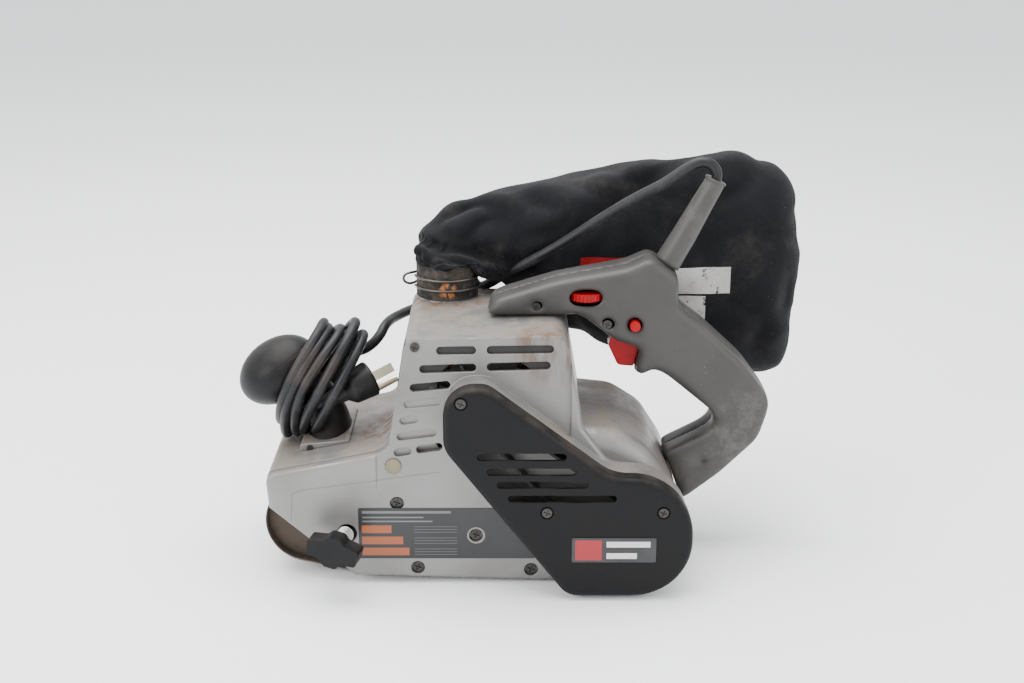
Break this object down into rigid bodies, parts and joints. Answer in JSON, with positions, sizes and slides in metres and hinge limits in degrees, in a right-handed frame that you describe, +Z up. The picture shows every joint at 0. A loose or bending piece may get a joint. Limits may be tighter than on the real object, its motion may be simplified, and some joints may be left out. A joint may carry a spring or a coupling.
{
  "type": "handheld belt sander",
  "caption": "Corded handheld belt sander with front knob, rear D handle, side drive-belt case and cloth dust bag on a top chute; its cord is wound round the front knob.",
  "frame": {"origin": "middle of the flat lower run of the sanding belt, between the drums and on the belt's centre line", "axes": "+X towards the rear handle, -Y towards the drive-belt case, +Z up, away from the work"},
  "size_m": [0.3862, 0.1959, 0.2731],
  "materials": {
    "cast_housing": "silver paint, dusty",
    "case_plastic": "charcoal, fine texture",
    "grip_plastic": "warm grey, satin, worn",
    "knob_plastic": "black, satin",
    "red_plastic": "gloss",
    "switch_plastic": "olive brown",
    "steel": "plain",
    "spring_steel": "bright wire",
    "lamination": "stacked sheet",
    "copper": "enamelled copper",
    "carbon": "graphite",
    "fan_plastic": "moulded",
    "aluminium": "turned",
    "drum_rubber": "ribbed",
    "toothed_rubber": "moulded",
    "abrasive_cloth": "worn grit",
    "cork": "pressed cork",
    "relief_rubber": "grey, satin",
    "cord_rubber": "black jacket",
    "plug_rubber": "black moulded",
    "plug_brass": "plated",
    "cuff_rubber": "dusty",
    "bag_cloth": "blue-black woven",
    "plate_print": "printed label",
    "badge_print": "printed label"
  },
  "bodies": {
    "housing": {"main_housing": "cast_housing", "side_cover": "cast_housing", "belt_cover": "case_plastic", "motor_end_cap": "case_plastic", "platen_shoe": "steel", "cork_pad": "cork", "sanding_belt": "abrasive_cloth", "drive_belt": "toothed_rubber", "field_core": "lamination", "field_coils": "copper", "brush_holders": "switch_plastic", "carbon_brushes": "carbon", "shaft_bearings": "steel", "handle_left": "grip_plastic", "handle_right": "grip_plastic", "handle_screws": "steel", "switch_body": "switch_plastic", "strain_relief": "relief_rubber", "power_cord": "cord_rubber", "cord_winding": "cord_rubber", "plug_body": "plug_rubber", "plug_blades": "plug_brass", "front_knob_cap": "knob_plastic", "front_knob_body": "knob_plastic", "knob_bracket": "cast_housing", "dust_chute": "aluminium", "casing_screws": "steel", "cover_screws": "steel", "inspection_plug": "switch_plastic", "rating_plate": "plate_print", "cover_badge": "badge_print", "tension_spring": "spring_steel", "trigger_spring": "spring_steel", "tracking_spring": "spring_steel", "lever_pin": "steel"},
    "armature": {"motor_shaft": "steel", "armature_core": "lamination", "armature_windings": "copper", "commutator": "copper", "cooling_fan": "fan_plastic", "motor_pulley": "aluminium"},
    "drive_drum": {"drive_shaft": "steel", "rear_drum": "aluminium", "rear_drum_sleeve": "drum_rubber", "drum_pulley": "aluminium"},
    "slide_block": {"slide_bar": "steel", "fork_pivot_pin": "steel"},
    "fork": {"front_fork": "aluminium", "front_axle": "steel"},
    "idler": {"front_drum": "aluminium", "front_drum_bearings": "steel"},
    "release_lever": {"tension_lever": "steel"},
    "tracking": {"tracking_knob": "knob_plastic", "tracking_screw": "steel"},
    "trigger_key": {"trigger": "red_plastic"},
    "lock_key": {"lock_button": "red_plastic"},
    "dial": {"speed_dial": "red_plastic"},
    "bag": {"dust_bag": "bag_cloth", "bag_cuff": "cuff_rubber", "bag_clip": "spring_steel"}
  },
  "joints": [
    {"name": "drive_drum_spin", "type": "hinge", "parent": "housing", "child": "drive_drum", "pos_m": [0.107, 0, 0.0296], "axis": [0, 1, 0], "continuous": true},
    {"name": "armature_spin", "type": "hinge", "parent": "housing", "child": "armature", "pos_m": [0.012, 0, 0.1185], "axis": [0, 1, 0], "continuous": true},
    {"name": "tension_lever_swing", "type": "hinge", "parent": "housing", "child": "release_lever", "pos_m": [0.002, 0.047, 0.031], "axis": [0, 0, -1], "range_deg": [0, 75]},
    {"name": "tension_slide", "type": "slide", "parent": "housing", "child": "slide_block", "axis": [1, 0, 0], "range_m": [0, 0.008], "deforming": ["tension_spring", "sanding_belt"]},
    {"name": "tracking_knob_turn", "type": "hinge", "parent": "housing", "child": "tracking", "pos_m": [-0.0809, -0.065, 0.0361], "axis": [0.2, 0.9798, 0], "range_deg": [-180, 180], "deforming": ["tracking_spring"]},
    {"name": "fork_skew", "type": "hinge", "parent": "slide_block", "child": "fork", "pos_m": [-0.0655, 0, 0.036], "axis": [0, 0, 1], "range_deg": [-1.2, 1.2], "deforming": ["sanding_belt"]},
    {"name": "front_drum_spin", "type": "hinge", "parent": "fork", "child": "idler", "pos_m": [-0.106, 0, 0.0386], "axis": [0, 1, 0], "continuous": true},
    {"name": "trigger_pull", "type": "slide", "parent": "housing", "child": "trigger_key", "axis": [0.8486, 0, 0.5291], "range_m": [0, 0.004], "stiffness_N_per_m": 600, "springref_m": -0.002, "deforming": ["trigger_spring"]},
    {"name": "lock_button_press", "type": "slide", "parent": "housing", "child": "lock_key", "axis": [0, 1, 0], "range_m": [0, 0.003], "stiffness_N_per_m": 300, "springref_m": -0.001},
    {"name": "speed_dial_turn", "type": "hinge", "parent": "housing", "child": "dial", "pos_m": [0.077, -0.0096, 0.183], "axis": [0, 0, 1], "range_deg": [-135, 135]},
    {"name": "bag_swivel", "type": "hinge", "parent": "housing", "child": "bag", "pos_m": [-0.0168, 0.0416, 0.18], "axis": [0, 0, 1], "range_deg": [0, 45]}
  ],
  "couplings": [
    {"joint": "armature_spin", "follows": "drive_drum_spin", "ratio": 3},
    {"joint": "front_drum_spin", "follows": "drive_drum_spin", "ratio": 1},
    {"joint": "tension_lever_swing", "follows": "tension_slide", "rad_per_m": 163.6},
    {"joint": "fork_skew", "follows": "tracking_knob_turn", "ratio": 0.006666}
  ]
}
